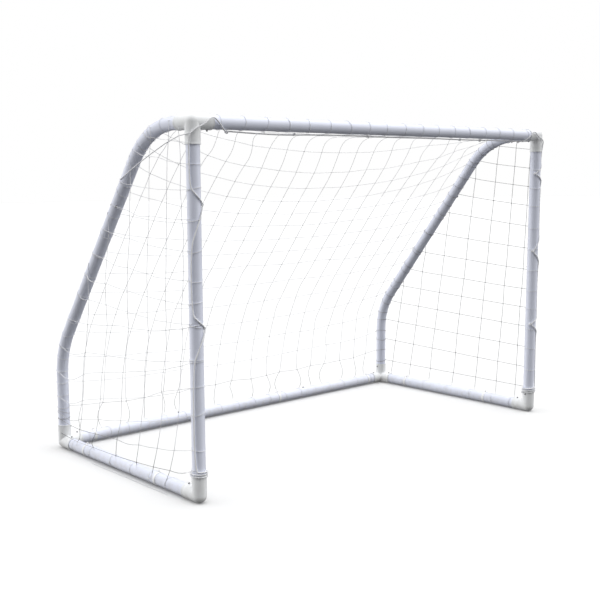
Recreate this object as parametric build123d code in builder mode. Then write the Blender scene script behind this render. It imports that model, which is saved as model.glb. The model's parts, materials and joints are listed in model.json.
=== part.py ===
from build123d import *
from dataclasses import dataclass
from math import cos, pi, radians, sin, sqrt, tan
import os

# Garden football goal: six moulded corner fittings, sectioned plastic tubes held by
# snap buttons, and one knotted net laced to the uprights and the crossbar.
# X runs along the goal line, the mouth faces -Y, and +Z is up. The origin is the middle
# of the footprint, on the ground.

# ---- Driving dimensions, in millimetres -------------------------------------------
goal_width = 2325.0  # between the upright axes
goal_depth = 1110.0  # between the upright axes and the rear ground bar's axis
post_height = 1500.0  # between the ground bars' axis and the crossbar's axis

tube_radius = 28.0
tube_wall = 2.2
fit_gap = 0.3  # between a tube and its socket, or a neck and its tube

socket_wall = 2.8
socket_length = 88.0  # from the corner's centre to the socket's mouth
rear_socket_length = 86.0
lip_height = 0.8
lip_length = 5.0
tube_seat = 36.0  # from the corner's centre to the tube's end
hub_bore_radius = 23.0

crossbar_end_run = 732.0  # from the corner's centre to the first seam
rear_bar_end_run = 732.0
upright_lower_run = 750.0
side_upper_run = 260.0  # from the side bar's top bend, down the slope, to its seam
neck_length = 70.0
neck_shoulder = 4.0

side_top_run = 307.0  # from the upright's axis back to the corner of the top bend
side_drop_height = 455.0  # from the ground axis up to the corner of the lower bend
top_bend_radius = 360.0
lower_bend_radius = 390.0

button_radius = 4.0
button_gap = 0.3
button_stand = 6.0  # how far a button stands out of the tube or socket
button_round = 1.6
button_distance = 70.0  # from the corner's centre
neck_button_distance = 35.0  # from the seam
flange_radius = 6.5
flange_thickness = 1.2
spring_strip = 0.8
spring_width = 8.0
spring_reach = 33.0
spring_foot = 6.0
spring_bow = 3.2
spring_fold_wall = 1.1

net_thickness = 3.0
net_gap = 0.5
net_front_setback = 42.0  # from the upright's axis to the net's front edge
rope_radius = 3.5
rope_gap = 1.0
rope_run_angle = 25.0  # of the long runs, from straight outwards towards the front
crossbar_rope_setback = 178.0  # from the crossbar corner to the end of the rope under the bar

clip_wall = 2.0
clip_width = 14.0
clip_mouth = 34.0
clip_eye_height = 10.0
clip_eye_width = 5.7
clip_eye_hole_radius = 1.6
clip_eye_thickness = 7.0

# ---- Worked out from them ---------------------------------------------------------
tube_bore = tube_radius - tube_wall
neck_radius = tube_bore - fit_gap
neck_bore = neck_radius - tube_wall
socket_bore = tube_radius + fit_gap
socket_radius = socket_bore + socket_wall
lip_radius = socket_radius + lip_height
net_offset = lip_radius + net_gap
net_reach = net_offset + net_thickness
rope_track = lip_radius + rope_gap + rope_radius
rope_reach = rope_track + rope_radius
rope_over_lip = rope_track + 2 * rope_gap

half_width = goal_width / 2
front_y = rope_reach - (goal_depth + net_reach + rope_reach) / 2
rear_y = front_y + goal_depth
ground_z = lip_radius
top_z = ground_z + post_height

left, right = -1, 1
side_names = {left: "left", right: "right"}
backward, forward = Vector(0, 1, 0), Vector(0, -1, 0)
up, down = Vector(0, 0, 1), Vector(0, 0, -1)


def inward(side):
    """The direction from a side of the goal towards its middle."""
    return Vector(-side, 0, 0)


def top_corner(side):
    """The centre of a crossbar corner."""
    return Vector(side * half_width, front_y, top_z)


def front_corner(side):
    """The centre of a front ground corner."""
    return Vector(side * half_width, front_y, ground_z)


def rear_corner(side):
    """The centre of a rear ground corner."""
    return Vector(side * half_width, rear_y, ground_z)


def top_bend(side):
    """The corner that the side bar's top bend rounds off."""
    return top_corner(side) + backward * side_top_run


def lower_bend(side):
    """The corner that the side bar's lower bend rounds off."""
    return rear_corner(side) + up * side_drop_height


def slope(side):
    """The direction down a side bar's slope."""
    return (lower_bend(side) - top_bend(side)).normalized()


def top_bend_tangent():
    """How far the top bend reaches along each of its two straights."""
    return top_bend_radius * tan(radians(backward.get_angle(slope(left))) / 2)


def side_seam(side):
    """The point on a side bar's slope where its two sections meet."""
    return top_bend(side) + slope(side) * (top_bend_tangent() + side_upper_run)


# ---- Snap buttons -----------------------------------------------------------------
@dataclass
class Station:
    """A snap button's place: a point on the tube's axis and its two directions."""

    name: str
    point: Vector
    along: Vector  # down the tube that holds the spring
    outward: Vector  # the way the button points
    surface: float  # radius of the outermost wall it comes through
    bore: float  # radius of the tube or neck that holds it


def socket_station(name, corner, along, outward):
    """A button in a tube that a fitting's socket holds."""
    return Station(name, corner + along * button_distance, along, outward, socket_radius, tube_bore)


def seam_station(name, seam, along, outward):
    """A button in a neck that the next section of tube holds."""
    point = seam - along * neck_button_distance
    return Station(name, point, along, outward, tube_radius, neck_bore)


def side_stations(side):
    """Every button on one side of the goal, by the joint that it locks."""
    inner = inward(side)
    top, front, rear = top_corner(side), front_corner(side), rear_corner(side)
    under_slope = inner.cross(slope(side)).normalized()
    if under_slope.Z > 0:
        under_slope = under_slope * -1
    slope_side = (under_slope - inner).normalized()
    crossbar_seam = top + inner * crossbar_end_run
    rear_seam = rear + inner * rear_bar_end_run
    upright_seam = front + up * upright_lower_run
    stations = [
        socket_station("top_crossbar", top, inner, down),
        socket_station("top_upright", top, down, backward),
        socket_station("top_side_bar", top, backward, inner),
        socket_station("front_upright", front, up, inner),
        socket_station("front_ground_bar", front, backward, up),
        socket_station("rear_ground_bar", rear, forward, up),
        socket_station("rear_rear_bar", rear, inner, up),
        socket_station("rear_side_bar", rear, up, inner),
        seam_station("crossbar_seam", crossbar_seam, inner, backward),
        seam_station("rear_bar_seam", rear_seam, inner, up),
        seam_station("upright_seam", upright_seam, down, backward),
        seam_station("side_bar_seam", side_seam(side), slope(side), slope_side),
    ]
    return {station.name: station for station in stations}


stations = {side: side_stations(side) for side in (left, right)}


def drill(*places):
    """Cuts the hole that each button comes through."""
    for place in places:
        hole_plane = Plane(origin=place.point, x_dir=place.along, z_dir=place.outward)
        with BuildSketch(hole_plane) as hole:
            Circle(button_radius + button_gap)
        extrude(hole.sketch, amount=lip_radius + button_stand, mode=Mode.SUBTRACT)


def finish_piece(builder, name):
    """Labels a finished piece and writes it."""
    builder.part.label = name
    export_step(builder.part, "parts/" + name + ".step")


os.makedirs("parts", exist_ok=True)


# ---- Corner fittings --------------------------------------------------------------
def make_fitting(name, corner, directions, length, places):
    """A hollow moulded hub with one lipped socket in each direction."""
    socket_planes = [Plane(origin=corner, z_dir=direction) for direction in directions]
    with BuildPart() as fitting:
        with Locations(corner):
            Sphere(socket_radius)
        for socket_plane in socket_planes:
            with BuildSketch(socket_plane):
                Circle(socket_radius)
            extrude(amount=length)
            with BuildSketch(socket_plane.offset(length - lip_length)):
                Circle(lip_radius)
            extrude(amount=lip_length)
        lip_edges = fitting.edges().filter_by(GeomType.CIRCLE)
        lip_edges = lip_edges.filter_by(lambda edge: abs(edge.radius - lip_radius) < 0.01)
        fillet(lip_edges, radius=0.45 * lip_height)
        with Locations(corner):
            Sphere(hub_bore_radius, mode=Mode.SUBTRACT)
        for socket_plane in socket_planes:
            with BuildSketch(socket_plane):
                Circle(hub_bore_radius)
            extrude(amount=length, mode=Mode.SUBTRACT)
            with BuildSketch(socket_plane.offset(tube_seat - fit_gap)):
                Circle(socket_bore)
            extrude(amount=length, mode=Mode.SUBTRACT)
        drill(*places)
    finish_piece(fitting, name)


for side, side_name in side_names.items():
    inner, at = inward(side), stations[side]
    make_fitting(
        side_name + "_top_fitting",
        top_corner(side),
        [inner, down, backward],
        socket_length,
        [at["top_crossbar"], at["top_upright"], at["top_side_bar"]],
    )
    make_fitting(
        side_name + "_front_elbow",
        front_corner(side),
        [backward, up],
        socket_length,
        [at["front_upright"], at["front_ground_bar"]],
    )
    make_fitting(
        side_name + "_rear_fitting",
        rear_corner(side),
        [inner, up, forward],
        rear_socket_length,
        [at["rear_ground_bar"], at["rear_rear_bar"], at["rear_side_bar"]],
    )


# ---- Tubes ------------------------------------------------------------------------
def add_neck(seam, direction):
    """Adds the narrowed end that pushes into the next section, past the seam."""
    with BuildSketch(Plane(origin=seam - direction * neck_shoulder, z_dir=direction)) as shoulder:
        Circle(tube_radius)
        Circle(neck_bore, mode=Mode.SUBTRACT)
    extrude(shoulder.sketch, amount=neck_shoulder)
    with BuildSketch(Plane(origin=seam, z_dir=direction)) as neck:
        Circle(neck_radius)
        Circle(neck_bore, mode=Mode.SUBTRACT)
    extrude(neck.sketch, amount=neck_length)


def make_tube(name, points, bend_radius, necks, places):
    """A tube along straight runs, with a round bend at each point between its ends."""
    with BuildPart() as tube:
        with BuildLine() as axis_line:
            if len(points) > 2:
                FilletPolyline(points, radius=bend_radius)
            else:
                Line(points)
        start = (points[1] - points[0]).normalized()
        with BuildSketch(Plane(origin=points[0], z_dir=start)):
            Circle(tube_radius)
            Circle(tube_bore, mode=Mode.SUBTRACT)
        sweep(path=axis_line.wire())
        for seam, direction in necks:
            add_neck(seam, direction)
        drill(*places)
    finish_piece(tube, name)


for side, side_name in side_names.items():
    inner, at = inward(side), stations[side]
    top, front, rear = top_corner(side), front_corner(side), rear_corner(side)
    upright_seam = front + up * upright_lower_run
    crossbar_seam = top + inner * crossbar_end_run
    rear_seam = rear + inner * rear_bar_end_run
    make_tube(
        side_name + "_upright_lower",
        [front + up * tube_seat, upright_seam],
        0,
        [(upright_seam, up)],
        [at["front_upright"], at["upright_seam"]],
    )
    make_tube(
        side_name + "_upright_upper",
        [upright_seam + up * fit_gap, top + down * tube_seat],
        0,
        [],
        [at["top_upright"], at["upright_seam"]],
    )
    make_tube(
        side_name + "_crossbar_section",
        [top + inner * tube_seat, crossbar_seam - inner * fit_gap],
        0,
        [],
        [at["top_crossbar"], at["crossbar_seam"]],
    )
    make_tube(
        side_name + "_rear_bar_section",
        [rear + inner * tube_seat, rear_seam - inner * fit_gap],
        0,
        [],
        [at["rear_rear_bar"], at["rear_bar_seam"]],
    )
    make_tube(
        side_name + "_ground_bar",
        [front + backward * tube_seat, rear + forward * tube_seat],
        0,
        [],
        [at["front_ground_bar"], at["rear_ground_bar"]],
    )
    make_tube(
        side_name + "_side_bar_upper",
        [top + backward * tube_seat, top_bend(side), side_seam(side) - slope(side) * fit_gap],
        top_bend_radius,
        [],
        [at["top_side_bar"], at["side_bar_seam"]],
    )
    make_tube(
        side_name + "_side_bar_lower",
        [side_seam(side), lower_bend(side), rear + up * tube_seat],
        lower_bend_radius,
        [(side_seam(side), slope(side) * -1)],
        [at["rear_side_bar"], at["side_bar_seam"]],
    )

for name, corner, end_run, seam_name in (
    ("crossbar_middle", top_corner, crossbar_end_run, "crossbar_seam"),
    ("rear_bar_middle", rear_corner, rear_bar_end_run, "rear_bar_seam"),
):
    seams = {side: corner(side) + inward(side) * end_run for side in side_names}
    make_tube(
        name,
        [seams[left], seams[right]],
        0,
        [(seams[side], inward(side) * -1) for side in side_names],
        [stations[side][seam_name] for side in side_names],
    )


# ---- Snap buttons and their springs -----------------------------------------------
def flange_top(place):
    """How far from the tube's axis a button's flange can stand inside its bore."""
    return sqrt(place.bore**2 - flange_radius**2) - button_gap


for side, side_name in side_names.items():
    for place in stations[side].values():
        top_of_flange = flange_top(place)
        base_plane = Plane(origin=place.point, x_dir=place.along, z_dir=place.outward)
        base_plane = base_plane.offset(top_of_flange - flange_thickness)
        stem_height = place.surface + button_stand - top_of_flange + flange_thickness
        with BuildPart() as button:
            with BuildSketch(base_plane):
                Circle(flange_radius)
            extrude(amount=flange_thickness)
            with BuildSketch(base_plane):
                Circle(button_radius)
            extrude(amount=stem_height)
            tip = button.faces().sort_by(lambda face: face.center().dot(place.outward))[-1]
            fillet(tip.edges(), radius=button_round)
        finish_piece(button, side_name + "_" + place.name + "_button")

with BuildPart() as button_springs:
    for side in side_names:
        for place in stations[side].values():
            leaf_top = flange_top(place) - flange_thickness
            leaf_bottom = -(sqrt(place.bore**2 - (spring_width / 2) ** 2) - button_gap)
            fold = (leaf_top + leaf_bottom) / 2
            knee = spring_reach - spring_bow
            outer_edge = [
                (-spring_foot, leaf_top),
                (spring_foot, leaf_top),
                (knee, fold + spring_bow),
                (spring_reach, fold),
                (knee, fold - spring_bow),
                (spring_foot, leaf_bottom),
                (-spring_foot, leaf_bottom),
            ]
            inner_edge = [
                (-spring_foot, leaf_bottom + spring_strip),
                (spring_foot - spring_strip, leaf_bottom + spring_strip),
                (knee - spring_strip, fold - spring_bow + spring_strip / 2),
                (spring_reach - spring_fold_wall, fold),
                (knee - spring_strip, fold + spring_bow - spring_strip / 2),
                (spring_foot - spring_strip, leaf_top - spring_strip),
                (-spring_foot, leaf_top - spring_strip),
            ]
            across = place.along.cross(place.outward)
            with BuildSketch(Plane(origin=place.point, x_dir=place.along, z_dir=across)):
                with BuildLine():
                    Polyline(outer_edge + inner_edge, close=True)
                make_face()
            extrude(amount=spring_width / 2, both=True)
finish_piece(button_springs, "button_springs")


# ---- Net --------------------------------------------------------------------------
def side_profile(offset):
    """The corners of a side bar's line, moved outwards, from the top back and down."""
    start = Vector(0, front_y + net_front_setback, top_z + offset)
    lean = radians(backward.get_angle(slope(left)))
    fall = radians(slope(left).get_angle(down))
    top_corner_point = top_bend(left) + backward * (offset * tan(lean / 2)) + up * offset
    low_corner_point = lower_bend(left) + up * (offset * tan(fall / 2)) + backward * offset
    end = rear_corner(left) + backward * offset
    return [(p.Y, p.Z) for p in (start, top_corner_point, low_corner_point, end)]


for side, side_name in side_names.items():
    outer_x = side * (half_width + net_reach)
    with BuildPart() as net_side:
        with BuildSketch(Plane.YZ.offset(outer_x)):
            with BuildLine():
                edge_line = side_profile(lip_radius)
                bends = (top_bend_radius + lip_radius, lower_bend_radius + lip_radius)
                FilletPolyline([Vector(*point) for point in edge_line], radius=bends)
                front_foot = (front_y + net_front_setback, ground_z)
                Polyline([edge_line[-1], front_foot, edge_line[0]])
            make_face()
        extrude(amount=-side * net_thickness)
    finish_piece(net_side, "net_" + side_name + "_side")


def bend_cut(before, corner, after, radius):
    """The two points where a flat tangent to the middle of a bend cuts its straights."""
    turn = (corner - before).get_angle(after - corner)
    reach = radius * (tan(radians(turn) / 2) - tan(radians(turn) / 4))
    return [
        corner - (corner - before).normalized() * reach,
        corner + (after - corner).normalized() * reach,
    ]


def net_line(offset):
    """The back net's line at one offset, with each bend taken by one flat."""
    start, top_point, low_point, end = [Vector(*point) for point in side_profile(offset)]
    top_cut = bend_cut(start, top_point, low_point, top_bend_radius + offset)
    low_cut = bend_cut(top_point, low_point, end, lower_bend_radius + offset)
    return [start, *top_cut, *low_cut, end]


inner_line, outer_line = net_line(net_offset), net_line(net_reach)
net_names = ("net_top", "net_top_bend", "net_slope", "net_lower_bend", "net_lower")
net_half_width = half_width + lip_radius
for index, name in enumerate(net_names):
    corners = [inner_line[index], inner_line[index + 1], outer_line[index + 1], outer_line[index]]
    with BuildPart() as net_panel:
        with BuildSketch(Plane.YZ):
            with BuildLine():
                Polyline(corners, close=True)
            make_face()
        extrude(amount=net_half_width, both=True)
    finish_piece(net_panel, name)


# ---- Border rope ------------------------------------------------------------------
def make_rope(name, points):
    """A rope along straight runs, with each turn as round as its runs allow."""
    radii = []
    for before, here, after in zip(points, points[1:], points[2:]):
        turn = (here - before).get_angle(after - here)
        shorter = min((here - before).length, (after - here).length)
        radii.append(0.45 * shorter / tan(radians(turn) / 2))
    with BuildPart() as rope:
        with BuildLine() as rope_line:
            FilletPolyline(points, radius=radii)
        with BuildSketch(Plane(origin=points[0], z_dir=points[1] - points[0])):
            Circle(rope_radius)
        sweep(path=rope_line.wire(), transition=Transition.RIGHT)
    length = rope_line.wire().length
    share = rope.part.volume / (length * pi * rope_radius**2)
    print(name, "length", round(length), "volume share", round(share, 4))
    finish_piece(rope, name)


def around(side, angle, height, reach=rope_track):
    """A point beside an upright, at an angle from outwards round by the front."""
    reach_out = reach * cos(radians(angle))
    reach_forward = reach * sin(radians(angle))
    return Vector(side * (half_width + reach_out), front_y - reach_forward, ground_z + height)


def corner_point(side, inwards, forwards, drop):
    """A point near a crossbar corner, measured from the corner's centre."""
    return top_corner(side) + inward(side) * inwards + forward * forwards + down * drop


# Heights of the lacing's turns round each upright, and of the legs above and below each.
lacing_turns = {
    left: ((1180.0, 70.0, 170.0), (689.0, 60.0, 150.0)),
    right: ((1295.0, 60.0, 60.0), (874.0, 105.0, 95.0), (469.0, 60.0, 70.0)),
}
wrap_height = 112.0
wrap_pitch = 8.5
wrap_steps = 12

for side, side_name in side_names.items():
    over_corner = [
        corner_point(side, 165, 0, rope_track),
        corner_point(side, 136, 24, 31),
        corner_point(side, 108, rope_track, 7),
        corner_point(side, 84, rope_track, -21),
        corner_point(side, 62, 32, -25),
        corner_point(side, 42, rope_track, -6),
        corner_point(side, 22, rope_track, 14),
    ]
    down_upright = [
        around(side, 88, post_height - 32, rope_over_lip),
        around(side, 60, post_height - 50, rope_over_lip),
        around(side, 38, post_height - 72, rope_over_lip),
        around(side, rope_run_angle, post_height - 105),
    ]
    for turn_height, leg_above, leg_below in lacing_turns[side]:
        down_upright.append(around(side, rope_run_angle, turn_height + leg_above))
        for angle, share in ((62, 0.62), (100, 0.3), (136, 0.08)):
            down_upright.append(around(side, angle, turn_height + leg_above * share))
        for angle, share in ((136, 0.08), (100, 0.3), (62, 0.62)):
            down_upright.append(around(side, angle, turn_height - leg_below * share))
        down_upright.append(around(side, rope_run_angle, turn_height - leg_below))
    wrap = []
    for step in range(wrap_steps + 1):
        height = wrap_height - wrap_pitch * step / 8
        wrap.append(around(side, rope_run_angle + 45 * step, height))
    make_rope(side_name + "_upright_rope", over_corner + down_upright + wrap)

rope_spans = 8
rope_end = half_width - crossbar_rope_setback
sag_depths = (0.0, 10.0, 2.0, 1.0, 3.0, 1.0, 3.0, 2.0, 0.0)
crossbar_rope_points = []
for step in range(rope_spans + 1):
    across_x = -rope_end + 2 * rope_end * step / rope_spans
    sag = rope_track + sag_depths[step]
    crossbar_rope_points.append(Vector(across_x, front_y, top_z - sag))
make_rope("crossbar_rope", crossbar_rope_points)


# ---- Net clips --------------------------------------------------------------------
rear_clip_places = (-0.86, -0.29, 0.22, 0.88)  # shares of the half width
side_clip_places = (0.26, 0.8)  # shares of the depth
clip_frames = [(Vector(share * half_width, rear_y, ground_z), Vector(1, 0, 0)) for share in rear_clip_places]
for side in side_names:
    for share in side_clip_places:
        clip_frames.append((front_corner(side) + backward * (share * goal_depth), backward))

with BuildPart() as net_clips:
    for centre, direction in clip_frames:
        clip_plane = Plane(origin=centre, x_dir=up, z_dir=direction)
        clip_outer = socket_bore + clip_wall
        with BuildSketch(clip_plane):
            Circle(clip_outer)
            Circle(socket_bore, mode=Mode.SUBTRACT)
            with Locations((-clip_outer, 0)):
                Rectangle(clip_outer, clip_mouth, mode=Mode.SUBTRACT)
        extrude(amount=clip_width / 2, both=True)
        with BuildSketch(clip_plane):
            with Locations((clip_outer + clip_eye_height / 2 - clip_wall / 2, 0)):
                SlotOverall(clip_eye_height, clip_eye_width)
            with Locations((clip_outer + clip_eye_height / 2, 0)):
                Circle(clip_eye_hole_radius, mode=Mode.SUBTRACT)
        extrude(amount=clip_eye_thickness / 2, both=True)
finish_piece(net_clips, "net_clips")
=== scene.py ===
"""Garden football goal: its looks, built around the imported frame."""

import json
import logging
import math
from dataclasses import dataclass, field
from enum import Enum

import bmesh
import bpy
import numpy as np
from mathutils import Matrix, Vector


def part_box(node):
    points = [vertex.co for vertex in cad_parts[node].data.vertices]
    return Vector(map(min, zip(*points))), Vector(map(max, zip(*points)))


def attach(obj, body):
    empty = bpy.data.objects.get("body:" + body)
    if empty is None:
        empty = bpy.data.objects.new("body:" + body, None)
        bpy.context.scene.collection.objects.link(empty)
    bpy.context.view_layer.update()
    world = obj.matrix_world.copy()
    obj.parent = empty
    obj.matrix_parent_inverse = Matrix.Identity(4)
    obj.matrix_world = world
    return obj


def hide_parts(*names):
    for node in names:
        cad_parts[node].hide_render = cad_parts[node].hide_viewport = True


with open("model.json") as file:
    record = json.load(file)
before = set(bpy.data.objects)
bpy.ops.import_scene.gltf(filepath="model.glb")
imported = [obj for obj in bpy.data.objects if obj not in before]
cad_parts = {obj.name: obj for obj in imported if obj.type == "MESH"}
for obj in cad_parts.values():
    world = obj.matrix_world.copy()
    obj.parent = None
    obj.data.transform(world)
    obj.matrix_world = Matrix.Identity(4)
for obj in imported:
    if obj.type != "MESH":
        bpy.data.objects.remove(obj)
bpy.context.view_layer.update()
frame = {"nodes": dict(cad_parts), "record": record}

BODY = "frame"
MM = 0.001
log = logging.getLogger("goal")


# ---- Shader maths -----------------------------------------------------------------
class Value:
    """A number that varies over a surface, with Python's arithmetic."""

    def __init__(self, shader: "Shader", socket: bpy.types.NodeSocket) -> None:
        """Wraps an output socket of one shader."""
        self.shader = shader
        self.socket = socket

    def math(self, operation: str, *others: object, clamp: bool = False) -> "Value":
        """Adds one Math node.

        Args:
            operation: the node's operation.
            others: its other inputs, values or numbers.
            clamp: whether the answer is kept between 0 and 1.

        Returns:
            The node's answer.
        """
        settings = {"operation": operation, "use_clamp": clamp}
        node = self.shader.node("ShaderNodeMath", settings, {0: self, **dict(enumerate(others, 1))})
        return Value(self.shader, node.outputs[0])

    def __add__(self, other: object) -> "Value":
        """Sum."""
        return self.math("ADD", other)

    def __sub__(self, other: object) -> "Value":
        """Difference."""
        return self.math("SUBTRACT", other)

    def __rsub__(self, other: float) -> "Value":
        """Difference from a number."""
        return (self * -1.0).math("ADD", other)

    def __mul__(self, other: object) -> "Value":
        """Product."""
        return self.math("MULTIPLY", other)

    __radd__ = __add__
    __rmul__ = __mul__

    def ramp(self, low: float, high: float) -> "Value":
        """Runs smoothly from 0 at low to 1 at high."""
        settings = {"interpolation_type": "SMOOTHSTEP", "clamp": True}
        sockets = {"Value": self, "From Min": low, "From Max": high}
        node = self.shader.node("ShaderNodeMapRange", settings, sockets)
        return Value(self.shader, node.outputs["Result"])

    def sine(self, turns: float = 1.0) -> "Value":
        """The sine of this many turns, from -1 to 1."""
        return (self * (2 * math.pi * turns)).math("SINE")


class Shader:
    """One procedural material, or the sky, and the nodes that make it."""

    def __init__(self, name: str, holder: type = bpy.types.Material) -> None:
        """Starts a material with its Principled shader, or a world with its Background."""
        library = bpy.data.materials if holder is bpy.types.Material else bpy.data.worlds
        self.material = library.new(name)
        self.material.use_nodes = True
        self.tree = self.material.node_tree
        self.surface = self.tree.nodes.get("Principled BSDF") or self.tree.nodes["Background"]

    def node(self, kind: str, settings: dict, sockets: dict) -> bpy.types.Node:
        """Adds one node.

        Args:
            kind: the node's type.
            settings: its properties, set before its sockets.
            sockets: what each input holds, by name or number: a number, a colour or a link.

        Returns:
            The node.
        """
        made = self.tree.nodes.new(kind)
        for key, value in settings.items():
            setattr(made, key, value)
        for key, value in sockets.items():
            self.fill(made.inputs[key], value)
        return made

    def fill(self, socket: bpy.types.NodeSocket, value: object) -> None:
        """Links a value to an input socket, or sets the socket's own number."""
        if isinstance(value, Value):
            value = value.socket
        if isinstance(value, bpy.types.NodeSocket):
            self.tree.links.new(value, socket)
        else:
            socket.default_value = value

    def place(self, scale: tuple = (1, 1, 1), turn: tuple = (0, 0, 0)) -> bpy.types.NodeSocket:
        """Object coordinates, turned and then stretched."""
        source = self.node("ShaderNodeTexCoord", {}, {}).outputs["Object"]
        turned = self.node("ShaderNodeMapping", {}, {"Vector": source, "Rotation": turn})
        stretch = {"Vector": turned.outputs[0], "Scale": scale}
        return self.node("ShaderNodeMapping", {}, stretch).outputs[0]

    def axis(self, name: str, vector: bpy.types.NodeSocket) -> Value:
        """One axis, X, Y or Z, of a vector."""
        parts = self.node("ShaderNodeSeparateXYZ", {}, {"Vector": vector})
        return Value(self, parts.outputs[name])

    def noise(self, vector: bpy.types.NodeSocket, scale: float, detail: float = 2.0) -> Value:
        """Smooth noise from 0 to 1."""
        sockets = {"Vector": vector, "Scale": scale, "Detail": detail}
        return Value(self, self.node("ShaderNodeTexNoise", {}, sockets).outputs["Fac"])

    def mix(self, share: Value, first: object, second: object) -> bpy.types.NodeSocket:
        """Mixes two colours: the first at 0, the second at 1."""
        node = self.node("ShaderNodeMix", {"data_type": "RGBA"}, {0: share, 6: first, 7: second})
        return node.outputs[2]

    def lit_but_seen_as(self, plain: bpy.types.NodeSocket) -> None:
        """Shows the camera a plain shader, while the surface's own gives the light."""
        seen = self.node("ShaderNodeLightPath", {}, {}).outputs["Is Camera Ray"]
        mix = self.node("ShaderNodeMixShader", {}, {0: seen, 1: self.surface.outputs[0], 2: plain})
        self.fill(self.tree.nodes["World Output"].inputs[0], mix.outputs[0])

    def finish(self, colour: object, roughness: object, height: Value, depth: float, **fixed: float) -> None:
        """Fills the Principled shader.

        Args:
            colour: its base colour, fixed or varying.
            roughness: its roughness, fixed or varying.
            height: the relief, from 0 to 1.
            depth: how far that relief reaches, in metres.
            fixed: other inputs by name, with _ for a space, the same all over.
        """
        self.fill(self.surface.inputs["Base Color"], colour)
        self.fill(self.surface.inputs["Roughness"], roughness)
        bump = self.node("ShaderNodeBump", {}, {"Height": height, "Distance": depth})
        self.fill(self.surface.inputs["Normal"], bump.outputs[0])
        for key, value in fixed.items():
            self.surface.inputs[key.replace("_", " ")].default_value = value


# ---- Finishes ---------------------------------------------------------------------
class Run(Enum):
    """The way a tube runs, as the turn that brings its length onto X."""

    ACROSS = (0.0, 0.0, 0.0)
    BACK = (0.0, 0.0, -math.pi / 2)
    UPRIGHT = (0.0, math.pi / 2, 0.0)
    SLOPE = (math.radians(52.45), 0.0, -math.pi / 2)


@dataclass(frozen=True)
class TubePlastic:
    """Extruded white plastic: a satin skin with faint drawing lines and handling marks."""

    run: Run
    colour: tuple = (0.79, 0.82, 0.94, 1)
    marked: tuple = (0.70, 0.73, 0.84, 1)
    dust: tuple = (0.60, 0.58, 0.53, 1)
    roughness: float = 0.34

    def make(self) -> bpy.types.Material:
        """The finished material."""
        shader = Shader("tube_plastic_" + self.run.name.lower())
        drawn = shader.place((0.9, 90, 90), self.run.value)
        lines = shader.noise(drawn, 4.0, 3.0)
        even = shader.place()
        cloud = shader.noise(even, 7.0, 4.0)
        speck = shader.noise(even, 420.0, 2.0).ramp(0.66, 0.80)
        scuff = shader.noise(shader.place((9, 60, 60), self.run.value), 3.0, 5.0).ramp(0.63, 0.78)
        height = shader.axis("Z", even)
        grime = (1 - height.ramp(0.012, 0.09)) * shader.noise(even, 38.0, 5.0).ramp(0.35, 0.8)
        tone = shader.mix(cloud.ramp(0.3, 0.75) * 0.35 + lines * 0.15, self.colour, self.marked)
        tone = shader.mix(grime * 0.4 + speck * 0.25, tone, self.dust)
        rough = self.roughness + scuff * 0.22 + lines * 0.10 + grime * 0.25
        relief = lines * 0.55 + cloud * 0.3 + scuff * 0.35
        shader.finish(tone, rough, relief, 0.25 * MM, Coat_Weight=0.12, Coat_Roughness=0.25)
        return shader.material


@dataclass(frozen=True)
class FittingPlastic:
    """Moulded corner plastic: whiter than the tubes, with a fine spark texture."""

    colour: tuple = (0.87, 0.885, 0.90, 1)
    shade: tuple = (0.79, 0.80, 0.80, 1)
    dust: tuple = (0.58, 0.57, 0.54, 1)

    def make(self) -> bpy.types.Material:
        """The finished material."""
        shader = Shader("fitting_plastic")
        even = shader.place()
        grain = shader.noise(even, 1500.0, 2.0)
        flow = shader.noise(shader.place((14, 22, 9)), 2.2, 3.0)
        worn = shader.noise(even, 90.0, 4.0).ramp(0.58, 0.75)
        height = shader.axis("Z", even)
        grime = (1 - height.ramp(0.004, 0.06)) * shader.noise(even, 55.0, 5.0).ramp(0.3, 0.75)
        tone = shader.mix(flow.ramp(0.35, 0.7) * 0.6, self.colour, self.shade)
        tone = shader.mix(grime * 0.55 + worn * 0.12, tone, self.dust)
        rough = 0.46 + grain * 0.10 - worn * 0.14 + grime * 0.2
        shader.finish(tone, rough, grain * 0.6 + flow * 0.4, 0.12 * MM, Coat_Weight=0.05)
        return shader.material


@dataclass(frozen=True)
class Steel:
    """Dull plated steel with fine brushing and dark spots."""

    name: str
    colour: tuple = (0.34, 0.34, 0.36, 1)
    spots: tuple = (0.13, 0.11, 0.10, 1)

    def make(self) -> bpy.types.Material:
        """The finished material."""
        shader = Shader(self.name)
        even = shader.place()
        brushed = shader.noise(shader.place((80, 900, 900)), 2.0, 2.0)
        spotted = shader.noise(even, 700.0, 3.0).ramp(0.55, 0.72)
        tone = shader.mix(spotted * 0.7, self.colour, self.spots)
        shader.finish(tone, 0.30 + spotted * 0.35, brushed * 0.6 + spotted * 0.4, 0.04 * MM, Metallic=0.9)
        return shader.material


@dataclass(frozen=True)
class ClipPlastic:
    """Glossy white clip plastic with slight flow marks."""

    colour: tuple = (0.90, 0.905, 0.92, 1)
    shade: tuple = (0.80, 0.80, 0.82, 1)

    def make(self) -> bpy.types.Material:
        """The finished material."""
        shader = Shader("clip_plastic")
        even = shader.place()
        flow = shader.noise(even, 120.0, 3.0)
        tone = shader.mix(flow.ramp(0.4, 0.75) * 0.5, self.colour, self.shade)
        shader.finish(tone, 0.25 + flow * 0.15, flow * 1.0, 0.08 * MM, Coat_Weight=0.2)
        return shader.material


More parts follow.
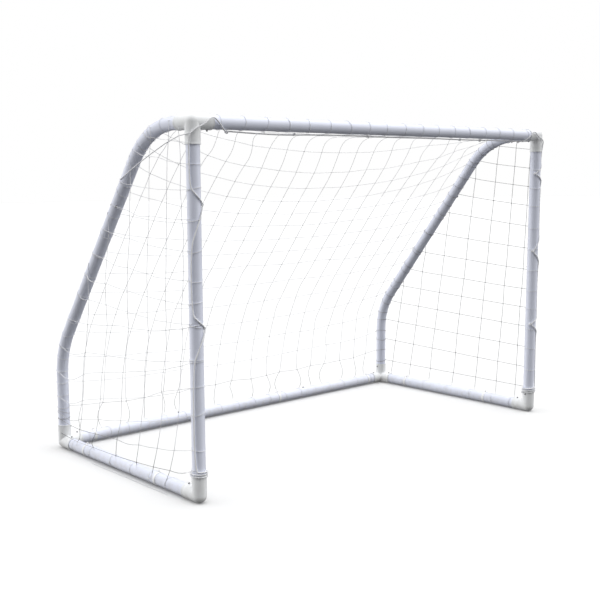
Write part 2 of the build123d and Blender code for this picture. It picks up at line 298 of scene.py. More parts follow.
@dataclass(frozen=True)
class Fibre:
    """Twisted fibre, whose UV map holds metres along it and turns round it."""

    name: str
    pitch: float
    plies: int
    colour: tuple
    # shade: the colour of the painted shade in the grooves between the plies, which the aged noise also
    # reaches in random patches.
    shade: tuple
    depth: float
    # How strongly, and towards which colour, the right side panel gets painted shade and the twine near the
    # ground gets darker.
    right_shade_and_low_dark: float = 0.0
    right_shade_and_low_dark_colour: tuple = (0.06, 0.06, 0.065, 1)

    def make(self) -> bpy.types.Material:
        """The finished material, with painted shade in the grooves between the plies, greyer along the right
        side as painted shade, and darker near the ground.
        """
        shader = Shader(self.name)
        source = shader.node("ShaderNodeTexCoord", {}, {}).outputs["UV"]
        along, around = shader.axis("X", source), shader.axis("Y", source)
        twist = (along * (1 / self.pitch) + around * float(self.plies)).sine() * 0.5 + 0.5
        even = shader.place()
        fuzz = shader.noise(even, 2600.0, 2.0)
        aged = shader.noise(even, 9.0, 3.0)
        hair = (along * (11 / self.pitch) + around * 9.0).sine() * 0.5 + 0.5
        # Painted shade: the grooves between the plies are painted towards the shade colour, where shade
        # falls; the aged noise greys them in random patches too.
        groove_shade = (1 - twist.ramp(0.0, 0.6)) * 0.75
        tone = shader.mix(groove_shade + aged.ramp(0.4, 0.8) * 0.2, self.colour, self.shade)
        height = shader.axis("Z", even)
        # Painted shade: twine more than 1.10 m to the right, on the right side panel, is darkened towards
        # near black, and twine from 8 to 28 cm up is darker too; the clear mask spares the twine below about
        # 7 cm and at the front edge.
        low = 1 - height.ramp(0.08, 0.28)
        right = shader.axis("X", even).ramp(1.10, 1.17)
        clear = height.ramp(0.062, 0.075) * shader.axis("Y", even).ramp(-0.525, -0.505)
        tone = shader.mix(low.math("MAXIMUM", right) * clear * self.right_shade_and_low_dark, tone, self.right_shade_and_low_dark_colour)
        relief = twist * 0.7 + fuzz * 0.15 + hair * 0.15
        shader.finish(tone, 0.62 + fuzz * 0.2, relief, self.depth, Sheen_Weight=0.25, Sheen_Roughness=0.4)
        return shader.material


# ---- The frame's lines ------------------------------------------------------------
@dataclass(frozen=True)
class Layout:
    """Where the tubes run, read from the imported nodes, in metres."""

    half_width: float
    front_y: float
    rear_y: float
    ground_z: float
    top_z: float
    radius: float
    side_top_run: float = 0.307
    side_drop_height: float = 0.455
    top_bend_radius: float = 0.360
    lower_bend_radius: float = 0.390

    @classmethod
    def read(cls) -> "Layout":
        """Takes the tubes' axes from the middles of their boxes."""
        low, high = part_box("left_upright_lower")
        crossbar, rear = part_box("crossbar_middle"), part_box("rear_bar_middle")
        return cls(
            half_width=-(low[0] + high[0]) / 2,
            front_y=(low[1] + high[1]) / 2,
            rear_y=(rear[0][1] + rear[1][1]) / 2,
            ground_z=(rear[0][2] + rear[1][2]) / 2,
            top_z=(crossbar[0][2] + crossbar[1][2]) / 2,
            radius=(high[0] - low[0]) / 2,
        )

    def side_line(self, steps: int = 24) -> np.ndarray:
        """The side bar's axis as close points, Y and Z, from the top corner down to the rear one."""
        points = [np.array((self.front_y, self.top_z))]
        corners = (
            (np.array((self.front_y + self.side_top_run, self.top_z)), self.top_bend_radius),
            (np.array((self.rear_y, self.ground_z + self.side_drop_height)), self.lower_bend_radius),
        )
        ends = (corners[1][0], np.array((self.rear_y, self.ground_z)))
        for (corner, bend), after in zip(corners, ends):
            way_in = (corner - points[-1]) / np.linalg.norm(corner - points[-1])
            way_out = (after - corner) / np.linalg.norm(after - corner)
            turn = math.acos(float(way_in @ way_out))
            start = corner - way_in * bend * math.tan(turn / 2)
            inward = np.array((way_in[1], -way_in[0]))
            centre = start + inward * bend
            for step in range(steps + 1):
                angle = turn * step / steps
                spoke = -inward * math.cos(angle) + way_in * math.sin(angle)
                points.append(centre + spoke * bend)
        points.append(ends[1])
        return np.array(points)


class SideBar:
    """The curve of a side bar, by distance along it."""

    def __init__(self, layout: Layout) -> None:
        """Measures the bar's line."""
        self.points = layout.side_line()
        gaps = np.linalg.norm(np.diff(self.points, axis=0), axis=1)
        self.marks = np.concatenate(([0.0], np.cumsum(gaps)))
        self.length = float(self.marks[-1])

    def at(self, distance: float) -> np.ndarray:
        """The point this far along, as Y and Z."""
        return np.array([np.interp(distance, self.marks, self.points[:, axis]) for axis in (0, 1)])

    def outward(self, distance: float) -> np.ndarray:
        """The direction square to the bar and away from the goal, as Y and Z."""
        step = 0.004
        ahead, behind = self.at(min(distance + step, self.length)), self.at(max(distance - step, 0.0))
        way = (ahead - behind) / np.linalg.norm(ahead - behind)
        return np.array((-way[1], way[0]))

    def at_height(self, height: float) -> float:
        """The distance along at which the bar passes this height."""
        return float(np.interp(-height, -self.points[:, 1], self.marks))


# ---- Twine and rope ---------------------------------------------------------------
def unit(vector: np.ndarray) -> np.ndarray:
    """A vector of length 1."""
    return vector / np.linalg.norm(vector)


def bevelled(lines: list, radius: float, sides: int, closed: bool, smooth: int) -> bpy.types.Mesh:
    """Turns lines into round strands.

    Args:
        lines: lists of points.
        radius: the strands' radius.
        sides: 0 for four sides, 1 for six, 2 for eight.
        closed: whether each line is a ring.
        smooth: steps between two points.

    Returns:
        A mesh whose UV map holds metres along and turns round.
    """
    curve = bpy.data.curves.new("strands", "CURVE")
    curve.dimensions = "3D"
    curve.bevel_depth = radius
    curve.bevel_resolution = sides
    curve.use_fill_caps = not closed
    curve.resolution_u = smooth
    for line in lines:
        spline = curve.splines.new("NURBS")
        spline.points.add(len(line) - 1)
        for point, place in zip(spline.points, line):
            point.co = (*place, 1)
        spline.use_cyclic_u = closed
        spline.order_u = 3
        spline.use_endpoint_u = not closed
    holder = bpy.data.objects.new("strands", curve)
    bpy.context.scene.collection.objects.link(holder)
    bpy.context.view_layer.update()
    graph = bpy.context.evaluated_depsgraph_get()
    mesh = bpy.data.meshes.new_from_object(holder.evaluated_get(graph))
    bpy.data.objects.remove(holder)
    bpy.data.curves.remove(curve)
    length = float(np.mean([np.linalg.norm(np.diff(np.array(line), axis=0), axis=1).sum() for line in lines]))
    layer = mesh.uv_layers[0]
    layer.name = "lay"
    for corner in layer.data:
        corner.uv = (corner.uv[0] * length, corner.uv[1])
    return mesh


class Strands:
    """Collects strands of one thickness and makes them one piece."""

    def __init__(self, name: str, radius: float, sides: int = 1, smooth: int = 2) -> None:
        """Starts an empty collection."""
        self.name, self.radius, self.sides, self.smooth = name, radius, sides, smooth
        self.groups: dict = {}
        self.shape = bmesh.new()

    def add(self, line: object, closed: bool = False) -> None:
        """Adds one line of points, open or closed, beside others of about its length."""
        points = np.array(line)
        length = np.linalg.norm(np.diff(points, axis=0), axis=1).sum()
        key = (closed, round(math.log(length) * 10))
        self.groups.setdefault(key, []).append([tuple(point) for point in points])

    def knot(self, place: np.ndarray, size: float, turn: float) -> None:
        """Adds one small pulled-tight knot."""
        matrix = Matrix.Translation(Vector(place)) @ Matrix.Rotation(turn, 4, Vector((0.3, 1.0, 0.5)))
        matrix = matrix @ Matrix.Diagonal((size * 1.25, size, size * 0.85, 1))
        bmesh.ops.create_icosphere(self.shape, subdivisions=1, radius=1.0, matrix=matrix)

    def make(self, material: bpy.types.Material, slot: str) -> bpy.types.Object:
        """Makes the piece and rides it on the frame."""
        for (closed, _), lines in self.groups.items():
            mesh = bevelled(lines, self.radius, self.sides, closed, self.smooth)
            self.shape.from_mesh(mesh)
            bpy.data.meshes.remove(mesh)
        return piece_from(self.shape, self.name, material)


def piece_from(
    shape: bmesh.types.BMesh, name: str, material: bpy.types.Material
) -> bpy.types.Object:
    """Makes a finished piece from a bmesh and rides it on the frame's body."""
    for face in shape.faces:
        face.smooth = True
    mesh = bpy.data.meshes.new(name)
    shape.to_mesh(mesh)
    shape.free()
    mesh.materials.clear()
    mesh.materials.append(material)
    piece = bpy.data.objects.new(name, mesh)
    bpy.context.scene.collection.objects.link(piece)
    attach(piece, BODY)
    return piece


class Web:
    """Knotted twine as particles and links, settled under its own weight."""

    def __init__(self, seed: int) -> None:
        """Starts an empty web with its own random draws."""
        self.places: list = []
        self.held: list = []
        self.links: list = []
        self.lengths: list = []
        self.bends: list = []
        self.strands: list = []
        self.knots: list = []
        self.random = np.random.default_rng(seed)

    def point(self, place: np.ndarray, held: bool = False, knot: bool = True) -> int:
        """Adds one particle and gives its number."""
        self.places.append(np.array(place, float))
        self.held.append(held)
        if knot:
            self.knots.append(len(self.places) - 1)
        return len(self.places) - 1

    def strand(self, through: list, slack: float, wander: float, parts: int = 3) -> None:
        """Runs one twine through its knots.

        Args:
            through: the knots' numbers, in order.
            slack: how much longer the twine is than the straight way, as a share.
            wander: how far it may start off the straight way, in metres.
            parts: links from one knot to the next.
        """
        line = [through[0]]
        for first, second in zip(through, through[1:]):
            a, b = self.places[first], self.places[second]
            spare = 1 + slack * self.random.uniform(0.4, 1.6)
            drift = self.random.normal(0, wander, 3)
            for part in range(1, parts):
                share = part / parts
                line.append(self.point(a + (b - a) * share + drift * math.sin(math.pi * share), knot=False))
            line.append(second)
            self.lengths += [np.linalg.norm(b - a) * spare / parts] * parts
        self.links += list(zip(line, line[1:]))
        self.bends += list(zip(line, line[1:], line[2:]))
        self.strands.append(line)

    def settle(self, steps: int, passes: int, pull: float = 2.0e-5) -> None:
        """Lets the web hang.

        Args:
            steps: time steps.
            passes: times that the links are put right in each step.
            pull: how far a free point would fall in the first step, in metres.
        """
        place = np.array(self.places)
        free = ~np.array(self.held)
        first, second = np.array(self.links).T
        rest = np.array(self.lengths)
        before, middle, after = np.array(self.bends).T
        count = np.bincount(np.concatenate((first, second)), minlength=len(place))[:, None]
        share_first = np.where(free[second], 0.5, 1.0)[:, None]
        share_second = np.where(free[first], 0.5, 1.0)[:, None]
        old = place.copy()
        for _ in range(steps):
            moved = (place - old) * 0.965
            moved[:, 2] -= pull
            old = place.copy()
            place[free] += moved[free]
            for _ in range(passes):
                gap = place[second] - place[first]
                length = np.linalg.norm(gap, axis=1)
                pulled = gap * ((length - rest) / length)[:, None]
                shift = np.zeros_like(place)
                for axis in range(3):
                    shift[:, axis] += np.bincount(first, (pulled * share_first)[:, axis], len(place))
                    shift[:, axis] -= np.bincount(second, (pulled * share_second)[:, axis], len(place))
                place[free] += (shift / count * 1.35)[free]
            ease = (place[before] + place[after]) / 2 - place[middle]
            soften = np.zeros_like(place)
            for axis in range(3):
                soften[:, axis] = np.bincount(middle, ease[:, axis], len(place))
            place[free] += (soften * 0.12)[free]
        self.places = list(place)

    def lay(self, strands: Strands, knot_size: float) -> None:
        """Puts the settled twine and its knots into a collection of strands."""
        for line in self.strands:
            strands.add([self.places[index] for index in line])
        for index in self.knots:
            turn = float(self.random.uniform(0, 6.28))
            strands.knot(self.places[index], knot_size * float(self.random.uniform(0.85, 1.2)), turn)


@dataclass(frozen=True)
class SidePanel:
    """How one side of the net hangs, in metres.

    Attributes:
        side: -1 for the left, 1 for the right.
        rows: each row's heights above the ground bar, at the upright and at the side bar.
        columns: how far behind the upright each column meets the ground bar.
        foot_lean: how far the columns lean forwards just above the ground bar.
        lean: how far they lean forwards higher up, as a share of the height.
        row_slack: how loose its rows are.
        column_slack: how loose its columns are.
        wander: how untidy it is.
        foot_bend: the height over which the lean at the foot comes in.
        nearest: how close behind the upright a column may run.
    """

    side: int
    rows: tuple
    columns: tuple
    foot_lean: float
    lean: float
    row_slack: float
    column_slack: float
    wander: float
    foot_bend: float = 0.18
    nearest: float = 0.045

    def column_at(self, foot: float, height: float) -> float:
        """How far behind the upright a column runs at a height."""
        bent = self.foot_lean * (1 - math.exp(-height / self.foot_bend)) + self.lean * foot**0.6 * height
        return max(foot - bent, self.nearest)


@dataclass
class Net:
    """The knotted net: two side panels, and a back that runs from the crossbar to the rear bar."""

    layout: Layout
    bar: SideBar
    twine_radius: float = 1.05 * MM
    knot_size: float = 2.6 * MM
    clearance: float = 0.03
    side_steps: int = 200
    back_steps: int = 70
    back_slack: tuple = (0.003, 0.004)
    back_wander: tuple = (0.002, 0.003)
    rows_under_crossbar: int = 3
    back_cells: int = 19
    back_rows: tuple = (
        (0.042, 0.050), (0.076, 0.110), (0.122, 0.160), (0.182, 0.228), (0.270, 0.250), (0.368, 0.251),
        (0.474, 0.231), (0.620, 0.163), (0.748, 0.115), (0.853, 0.100), (0.972, 0.072), (1.108, 0.030),
        (1.226, 0.044), (1.364, 0.040), (1.478, 0.050), (1.614, 0.030), (1.742, 0.020), (1.868, 0.010),
    )
    sides: tuple = (
        SidePanel(
            side=-1,
            rows=(
                (1.420, 1.460), (1.337, 1.400), (1.240, 1.270), (1.124, 1.170), (1.000, 1.064),
                (0.883, 0.950), (0.790, 0.854), (0.710, 0.755), (0.700, 0.624), (0.563, 0.491),
                (0.555, 0.360), (0.452, 0.235), (0.341, 0.150), (0.195, 0.120), (0.110, 0.050),
            ),
            columns=(0.20, 0.33, 0.48, 0.65, 0.83, 0.99),
            foot_lean=0.11,
            lean=0.13,
            row_slack=0.020,
            column_slack=0.030,
            wander=0.008,
        ),
        SidePanel(
            side=1,
            rows=(
                (1.422, 1.459), (1.320, 1.372), (1.220, 1.280), (1.117, 1.182), (1.002, 1.078),
                (0.881, 0.950), (0.762, 0.831), (0.653, 0.713), (0.550, 0.608), (0.443, 0.501),
                (0.326, 0.378), (0.211, 0.250), (0.098, 0.109),
            ),
            columns=(0.11, 0.24, 0.39, 0.56, 0.74, 0.90, 1.05),
            foot_lean=0.0,
            lean=0.16,
            row_slack=0.003,
            column_slack=0.006,
            wander=0.003,
        ),
    )
    loops: list = field(default_factory=list)

    def off_bar(self, side: int, distance: float, out: float, back: float) -> np.ndarray:
        """A point on a side bar's surface, part outwards and part square to the bar."""
        lay = unit(np.array((out, back)))
        y, z = self.bar.at(distance) + self.bar.outward(distance) * lay[1] * self.reach
        return np.array((side * (self.layout.half_width + lay[0] * self.reach), y, z))

    @property
    def reach(self) -> float:
        """How far a twine's middle lies from the axis of the tube that it wraps."""
        return self.layout.radius + self.twine_radius * 1.1

    def loop(self, centre: np.ndarray, way: np.ndarray, random: np.random.Generator, steps: int = 14) -> None:
        """Wraps one loop of twine round a tube.

        Args:
            centre: a point on the tube's axis.
            way: the axis's direction.
            random: where the loop's lean is drawn from.
            steps: its points.
        """
        way = unit(np.array(way, float))
        helper = np.array((0.0, 0.0, 1.0)) if abs(way[2]) < 0.7 else np.array((1.0, 0.0, 0.0))
        across = unit(np.cross(way, helper))
        other = np.cross(way, across)
        lean, phase = random.uniform(-0.010, 0.010), random.uniform(0, 6.28)
        grow = 1.0 / (math.cos(math.pi / steps) ** 2)
        points = []
        for step in range(steps):
            angle = 2 * math.pi * step / steps
            spoke = across * math.cos(angle) + other * math.sin(angle)
            points.append(np.array(centre) + spoke * self.reach * grow + way * lean * math.sin(angle + phase))
        self.loops.append(points)

    def crossing(self, panel: SidePanel, foot: float, front: float, back: float, bar_y: float) -> tuple:
        """Finds where a column of a side panel crosses a row.

        Args:
            panel: the side panel.
            foot: how far behind the upright the column meets the ground bar.
            front: the row's height at the upright.
            back: its height at the side bar.
            bar_y: the side bar's Y at that height.

        Returns:
            The crossing's Y, and its height above the ground bar.
        """
        edge_y = self.edge_y
        height, y = (front + back) / 2, 0.0
        for _ in range(5):
            y = self.layout.front_y + panel.column_at(foot, height)
            height = front + (back - front) * (y - edge_y) / (bar_y - edge_y)
        return y, height

    def column_top(self, panel: SidePanel, foot: float) -> float:
        """How far along the side bar a column of a side panel meets it."""
        marks = np.linspace(0.06, self.bar.length - 0.1, 200)
        misses = []
        for mark in marks:
            y, z = self.bar.at(mark)
            misses.append(abs(y - self.layout.front_y - panel.column_at(foot, z - self.layout.ground_z)))
        return marks[int(np.argmin(misses))]

    @property
    def edge_y(self) -> float:
        """The Y of the side panels' front edges, on the uprights."""
        return self.layout.front_y - 0.2 * self.layout.radius

    def side(self, panel: SidePanel) -> Web:
        """Hangs one side panel between an upright, a side bar and a ground bar."""
        lay, side, web = self.layout, panel.side, Web(40 + panel.side)
        plane_x = side * (lay.half_width + self.reach)
        crossings: dict = {foot: [] for foot in panel.columns}
        for front, back in panel.rows:
            mark = self.bar.at_height(lay.ground_z + back)
            bar_y = float(self.bar.at(mark)[0])
            row = [web.point((plane_x, self.edge_y, lay.ground_z + front), held=True)]
            self.loop((side * lay.half_width, lay.front_y, lay.ground_z + front), (0, 0, 1), web.random)
            for foot in panel.columns:
                y, height = self.crossing(panel, foot, front, back, bar_y)
                if y < bar_y - self.clearance and height > self.clearance:
                    jog = float(web.random.normal(0, panel.wander * 0.6))
                    row.append(web.point((plane_x, y + jog, lay.ground_z + height)))
                    crossings[foot].append(row[-1])
            row.append(web.point(self.off_bar(side, mark, 1.0, 0.35), held=True))
            self.loop_on_bar(side, mark, web.random)
            web.strand(row, panel.row_slack, panel.wander)
        for foot, middle in crossings.items():
            top = web.point(self.off_bar(side, self.column_top(panel, foot), 1.0, 0.35), held=True)
            end = web.point((plane_x, lay.front_y + foot, lay.ground_z), held=True)
            self.loop((side * lay.half_width, lay.front_y + foot, lay.ground_z), (0, 1, 0), web.random)
            middle.sort(key=lambda number: -web.places[number][2])
            web.strand([top, *middle, end], panel.column_slack, panel.wander)
        web.settle(self.side_steps, 12)
        return web

    def loop_on_bar(self, side: int, mark: float, random: np.random.Generator) -> None:
        """Wraps one loop round a side bar."""
        y, z = self.bar.at(mark)
        out = self.bar.outward(mark)
        self.loop((side * self.layout.half_width, y, z), (0, -out[1], out[0]), random)

    def back(self) -> Web:
        """The back: rows from bar to bar, and columns from the crossbar to the rear bar."""
        lay, web = self.layout, Web(7)
        xs = np.linspace(-lay.half_width, lay.half_width, self.back_cells + 1)[1:-1]
        tops, feet = [], []
        top_y, top_z = lay.front_y + self.reach * 0.75, lay.top_z - self.reach * 0.66
        for x in xs:
            tops.append(web.point((x, top_y, top_z), held=True))
            feet.append(web.point((x, lay.rear_y + self.reach, lay.ground_z), held=True))
            self.loop((x, lay.front_y, lay.top_z), (1, 0, 0), web.random)
            self.loop((x, lay.rear_y, lay.ground_z), (1, 0, 0), web.random)
        grid = []
        for index, (mark, fall) in enumerate(self.back_rows):
            line = [web.point(self.off_bar(-1, mark, 0.5, 1.0), held=True)]
            for x in xs:
                stray = float(web.random.normal(0, 0.003))
                here = mark + fall * (1 - (x / lay.half_width) ** 2) + stray
                y, z = self.bar.at(here) + self.bar.outward(here) * self.reach
                line.append(web.point((x, y, z)))
            line.append(web.point(self.off_bar(1, mark, 0.5, 1.0), held=True))
            web.strand(line, self.back_slack[0], self.back_wander[0])
            grid.append(line)
            if index >= self.rows_under_crossbar:
                self.loop_on_bar(-1, mark, web.random)
                self.loop_on_bar(1, mark, web.random)
        for index in range(len(xs)):
            column = [tops[index], *[line[index + 1] for line in grid], feet[index]]
            web.strand(column, self.back_slack[1], self.back_wander[1])
        web.settle(self.back_steps, 12)
        return web

    def loose_end(self) -> list:
        """The loose twine that lies on the ground beside the left ground bar."""
        lay = self.layout
        x = -lay.half_width - 1.6 * lay.radius
        return [(x - 0.004 * math.sin(3 * t), lay.front_y + 0.17 + 0.2 * t, 0.003) for t in range(4)]

    def make(self, material: bpy.types.Material) -> None:
        """Makes the net as one piece in place of its seven stand-in panels."""
        strands = Strands("net", self.twine_radius)
        webs = [*[self.side(panel) for panel in self.sides], self.back()]
        for web in webs:
            web.lay(strands, self.knot_size)
        for ring in self.loops:
            strands.add(ring, closed=True)
        strands.add(self.loose_end())
        net = strands.make(material, "net_twine")
        panels = [name for name in frame["nodes"] if name.startswith("net_") and name != "net_clips"]
        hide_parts(*panels)
        log.info("net: %d loops, %d polygons", len(self.loops), len(net.data.polygons))


@dataclass
class BorderRope:
    """The laid rope that laces the net to the uprights and lies under the crossbar."""

    layout: Layout
    radius: float = 3.4 * MM
    strand_count: int = 3
    lay_length: float = 0.021
    run_angle: float = 25.0
    turns: dict = field(
        default_factory=lambda: {
            -1: ((1.180, 0.070, 0.170), (0.689, 0.060, 0.150)),
            1: ((1.295, 0.060, 0.060), (0.874, 0.105, 0.095), (0.469, 0.060, 0.070)),
        }
    )
    corner_height: float = 1.5
    tie_height: float = 1.27
    over_socket: float = 4 * MM
    crossbar_ties: tuple = (-0.54, -0.148, 0.428, 0.568, 0.806)
    knot_points: int = 30

    @property
    def track(self) -> float:
        """How far the rope's route runs from a tube's axis."""
        return self.layout.radius + self.radius * 1.55

    def around(self, side: int, angle: float, height: float, reach: float) -> tuple:
        """A point beside an upright, at an angle from outwards round by the front, in degrees."""
        out, forward = math.cos(math.radians(angle)), math.sin(math.radians(angle))
        lay = self.layout
        return (side * (lay.half_width + reach * out), lay.front_y - reach * forward, lay.ground_z + height)

    def corner(self, side: int, inwards: float, forwards: float, drop: float) -> tuple:
        """A point near a crossbar corner, in metres from the corner's centre."""
        lay = self.layout
        return (side * (lay.half_width - inwards), lay.front_y - forwards, lay.top_z - drop)

    def upright_route(self, side: int) -> list:
        """The route over a crossbar corner and down an upright to its foot."""
        track, over = self.track, self.track + self.over_socket
        route = [
            self.corner(side, 0.165, 0.0, 0.0365),
            self.corner(side, 0.136, 0.024, 0.031),
            self.corner(side, 0.108, 0.0365, 0.007),
            self.corner(side, 0.084, 0.0365, -0.015),
            self.corner(side, 0.066, 0.0365, -0.015),
            self.corner(side, 0.044, 0.0370, 0.002),
            self.corner(side, 0.022, 0.0373, 0.014),
            self.around(side, 86, self.corner_height - 0.024, over),
            self.around(side, 58, self.corner_height - 0.036, over),
            self.around(side, 36, self.corner_height - 0.050, over),
            self.around(side, 27, self.corner_height - 0.076, over),
            self.around(side, self.run_angle, self.corner_height - 0.105, track),
        ]
        for height, above, below in self.turns[side]:
            route.append(self.around(side, self.run_angle, height + above, track))
            for angle, share in ((62, 0.62), (100, 0.3), (136, 0.08)):
                route.append(self.around(side, angle, height + above * share, track))
            for angle, share in ((136, 0.08), (100, 0.3), (62, 0.62)):
                route.append(self.around(side, angle, height - below * share, track))
            route.append(self.around(side, self.run_angle, height - below, track))
        for step in range(21):
            route.append(self.around(side, self.run_angle + 45 * step, 0.106 - 0.0105 * step / 8, over))
        return route

    def crossbar_route(self) -> list:
        """The route along the underside of the crossbar, sagging between its ties."""
        lay, end = self.layout, self.layout.half_width - 0.168
        sags = (0.0, 10.0, 2.0, 1.0, 3.0, 1.0, 3.0, 2.0, 0.0)
        route = []
        for step, sag in enumerate(sags):
            x = -end + 2 * end * step / (len(sags) - 1)
            route.append((x, lay.front_y, lay.top_z - 0.0335 - sag * MM))
        return route

    def smooth(self, route: list, steps: int) -> np.ndarray:
        """Reads close points along the smooth line through a route."""
        curve = bpy.data.curves.new("route", "CURVE")
        curve.dimensions = "3D"
        curve.resolution_u = steps
        spline = curve.splines.new("NURBS")
        spline.points.add(len(route) - 1)
        for point, place in zip(spline.points, route):
            point.co = (*place, 1)
        spline.order_u = 3
        spline.use_endpoint_u = True
        holder = bpy.data.objects.new("route", curve)
        bpy.context.scene.collection.objects.link(holder)
        graph = bpy.context.evaluated_depsgraph_get()
        mesh = bpy.data.meshes.new_from_object(holder.evaluated_get(graph))
        points = np.array([vertex.co[:] for vertex in mesh.vertices])
        bpy.data.objects.remove(holder)
        return points

    def twist(self, name: str, route: list, material: bpy.types.Material) -> bpy.types.Object:
        """Lays three strands along a route.

        Args:
            name: the piece's name, with the CAD node's name before "_lay".
            route: its points.
            material: the fibre's finish.

        Returns:
            The rope, in place of its plain CAD tube.
        """
        line = self.smooth(route, 12)
        gaps = np.linalg.norm(np.diff(line, axis=0), axis=1)
        marks = np.concatenate(([0.0], np.cumsum(gaps)))
        count = int(marks[-1] / self.lay_length * 7)
        spread = np.linspace(0, marks[-1], count)
        centres = np.stack([np.interp(spread, marks, line[:, axis]) for axis in range(3)], 1)
        tangents = np.gradient(centres, axis=0)
        tangents /= np.linalg.norm(tangents, axis=1)[:, None]
        side = unit(np.cross(tangents[0], (0.31, 0.84, 0.44)))
        sides = []
        for tangent in tangents:
            side = unit(side - tangent * (side @ tangent))
            sides.append(side)
        sides = np.array(sides)
        others = np.cross(tangents, sides)
        thick, offset = 0.48 * self.radius, 0.53 * self.radius
        strands = Strands(name, thick, sides=1, smooth=1)
        for strand in range(self.strand_count):
            phase = 2 * math.pi * (spread / self.lay_length + strand / self.strand_count)
            wave = sides * np.cos(phase)[:, None] + others * np.sin(phase)[:, None]
            strands.add(centres + wave * offset)
        rope = strands.make(material, "border_rope")
        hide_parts(name.removesuffix("_lay"))
        return rope

    def knots(self, material: bpy.types.Material) -> None:
        """Ties a knot at each turn, at the feet and where the ropes meet under the crossbar."""
        strands = Strands("rope_knots", 0.62 * self.radius, sides=1, smooth=2)
        places = []
        for side, turns in self.turns.items():
            for height, _, _ in turns:
                places.append(self.around(side, 150, height, self.track))
            places.append(self.around(side, 205, 0.080, self.track + 5 * MM))
            places.append(self.corner(side, 0.168, 0.0, 0.037))
        lay = self.layout
        tie_z = lay.top_z - lay.radius - 2.6 * self.radius
        for share in self.crossbar_ties:
            places.append((share * lay.half_width, lay.front_y, tie_z))
        for index, place in enumerate(places):
            lean = Matrix.Rotation(index * 1.3, 3, Vector((0.4, 0.7, 0.6)))
            points = []
            for step in range(self.knot_points):
                t = 2 * math.pi * step / self.knot_points
                loop = Vector((
                    math.sin(t) + 2 * math.sin(2 * t),
                    math.cos(t) - 2 * math.cos(2 * t),
                    -1.6 * math.sin(3 * t),
                ))
                points.append(np.array(place) + np.array(lean @ loop) * self.radius * 0.62)
            strands.add(points, closed=True)
        strands.add(self.corner_tie())
        strands.make(material, "border_rope")

    def corner_tie(self) -> list:
        """The thin tie from the left side bar up to the rope at the left top corner."""
        lay, bar = self.layout, SideBar(self.layout)
        y, z = bar.at(bar.at_height(lay.ground_z + self.tie_height))
        return [
            (-lay.half_width - 0.030, y, z + 0.012),
            (-lay.half_width - 0.034, y - 0.14, z + 0.075),
            (-lay.half_width - 0.036, lay.front_y + 0.045, lay.top_z - 0.045),
            self.around(-1, 30, self.corner_height - 0.046, self.track + self.over_socket),
        ]

    def make(self, material: bpy.types.Material) -> None:
        """Makes the three ropes and their knots."""
        for side, name in ((-1, "left_upright_rope"), (1, "right_upright_rope")):
            rope = self.twist(name + "_lay", self.upright_route(side), material)
            log.info("%s: %d polygons", rope.name, len(rope.data.polygons))
        self.twist("crossbar_rope_lay", self.crossbar_route(), material)
        self.knots(material)


# ---- The carried-over frame -------------------------------------------------------
@dataclass
class FrameDress:
    """Gives every CAD piece that stays its own finish."""

    runs: dict = field(
        default_factory=lambda: {
            "upright": Run.UPRIGHT,
            "crossbar": Run.ACROSS,
            "rear_bar": Run.ACROSS,
            "ground_bar": Run.BACK,
            "side_bar": Run.SLOPE,
        }
    )

    def dress(self) -> None:
        """Sets each node's material by its slot in the record."""
        tubes = {run: TubePlastic(run).make() for run in Run}
        plain = {
            "fitting": FittingPlastic().make(),
            "snap_button": Steel("button_steel").make(),
            "spring_leaf": Steel("spring_steel", (0.45, 0.45, 0.47, 1)).make(),
            "net_clip": ClipPlastic().make(),
        }
        for part in frame["record"]["subparts"]:
            name, slot = part["node"], part["material_slot"]
            if slot == "tube":
                run = next(run for key, run in self.runs.items() if key in name)
                self.wear(name, tubes[run])
            elif slot in plain:
                self.wear(name, plain[slot])

    def wear(self, node: str, material: bpy.types.Material) -> None:
        """Puts one material on one node."""
        thing = frame["nodes"][node]
        if not thing.material_slots:
            thing.data.materials.append(material)
        for held in thing.material_slots:
            held.material = material


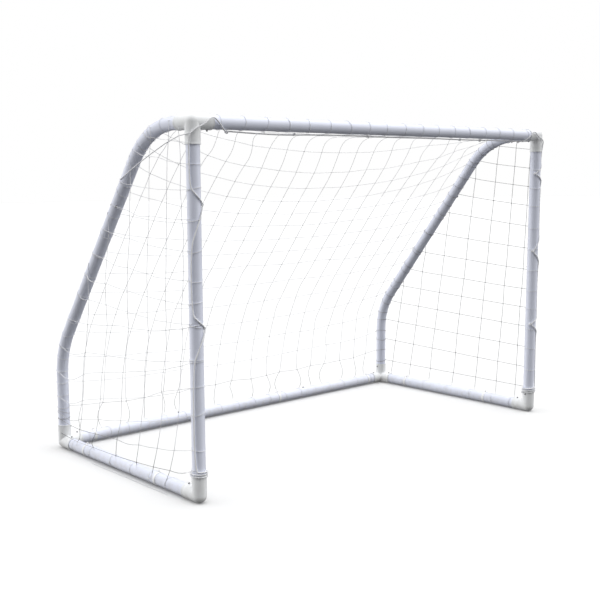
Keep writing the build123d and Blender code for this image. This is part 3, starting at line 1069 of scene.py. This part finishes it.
# ---- The studio -------------------------------------------------------------------
@dataclass
class Studio:
    """A white floor, soft lights and the camera."""

    eye: tuple = (-3.3845, -3.5312, 1.2908)
    heading: float = 39.79
    tilt: float = 8.01
    roll: float = -0.66
    lens: float = 56.5
    shift: tuple = (0.090, 0.027)
    white: tuple = (0.72, 0.721, 0.724, 1)
    tint: tuple = (1.0, 1.0, 1.0, 1)
    ambient: float = 0.04
    glows: tuple = (
        ((0.0, 0.0, 1.0), 0.80, 0.25),
        ((-0.38, 0.32, 0.87), 0.50, 0.45),
        ((0.38, -0.32, 0.87), 1.20, 0.45),
        ((-0.64, 0.76, 0.09), 1.20, 0.45),
        ((0.71, -0.70, 0.09), 0.62, 0.45),
        ((0.74, -0.34, 0.57), 0.12, 0.45),
        ((-0.63, 0.52, -0.57), 0.32, 0.45),
    )

    def camera(self) -> None:
        """Sets the camera."""
        data = bpy.data.cameras.new("camera")
        data.sensor_width, data.lens = 36.0, self.lens
        data.shift_x, data.shift_y = self.shift
        data.clip_end = 200.0
        heading, tilt, roll = (math.radians(angle) for angle in (self.heading, self.tilt, self.roll))
        level, drop = math.cos(tilt), -math.sin(tilt)
        ahead = Vector((math.sin(heading) * level, math.cos(heading) * level, drop))
        across = Vector((math.cos(heading), -math.sin(heading), 0.0))
        above = across.cross(ahead)
        right = across * math.cos(roll) + above * math.sin(roll)
        top = above * math.cos(roll) - across * math.sin(roll)
        turn = Matrix((right, top, -ahead)).transposed().to_4x4()
        camera = bpy.data.objects.new("camera", data)
        camera.matrix_world = Matrix.Translation(Vector(self.eye)) @ turn
        bpy.context.scene.collection.objects.link(camera)
        bpy.context.scene.camera = camera

    def sky(self) -> None:
        """Lights everything from soft glows in the sky, which the camera sees as plain white."""
        shader = Shader("sky", bpy.types.World)
        way = shader.node("ShaderNodeTexCoord", {}, {}).outputs["Generated"]
        light = None
        for place, strength, edge in self.glows:
            facing = shader.node("ShaderNodeVectorMath", {"operation": "DOT_PRODUCT"}, {0: way, 1: place})
            glow = Value(shader, facing.outputs["Value"]).ramp(edge, 0.95) * strength
            light = glow + (light if light is not None else self.ambient)
        shader.fill(shader.surface.inputs["Color"], self.tint)
        shader.fill(shader.surface.inputs["Strength"], light)
        white = shader.node("ShaderNodeBackground", {}, {"Color": (1, 1, 1, 1)})
        shader.lit_but_seen_as(white.outputs[0])
        bpy.context.scene.world = shader.material

    def floor(self) -> None:
        """Lays a wide white floor, which catches shadows and throws back no light."""
        shape = bmesh.new()
        bmesh.ops.create_grid(shape, x_segments=1, y_segments=1, size=60.0)
        mesh = bpy.data.meshes.new("floor")
        shape.to_mesh(mesh)
        shape.free()
        floor = bpy.data.objects.new("floor", mesh)
        bpy.context.scene.collection.objects.link(floor)
        floor.visible_diffuse = floor.visible_glossy = False
        shader = Shader("floor_paper")
        shader.fill(shader.surface.inputs["Base Color"], self.white)
        shader.fill(shader.surface.inputs["Roughness"], 0.9)
        shader.fill(shader.surface.inputs["Specular IOR Level"], 0.0)
        mesh.materials.append(shader.material)

    def make(self) -> None:
        """Builds the studio."""
        bpy.context.scene.view_settings.view_transform = "Standard"
        self.camera()
        self.sky()
        self.floor()


def main() -> None:
    """Builds every piece in order."""
    logging.basicConfig(level=logging.INFO, format="%(name)s %(message)s")
    Studio().make()
    layout = Layout.read()
    bar = SideBar(layout)
    log.info("side bar line: %.3f m", bar.length)
    FrameDress().dress()
    twine = Fibre("net_twine", 0.007, 2, (0.90, 0.905, 0.92, 1), (0.70, 0.70, 0.73, 1), 0.2 * MM, 0.9)
    cord = Fibre("rope_fibre", 0.006, 3, (0.94, 0.945, 0.96, 1), (0.70, 0.705, 0.74, 1), 0.3 * MM)
    Net(layout, bar).make(twine.make())
    BorderRope(layout).make(cord.make())


if __name__ == "__main__":
    main()
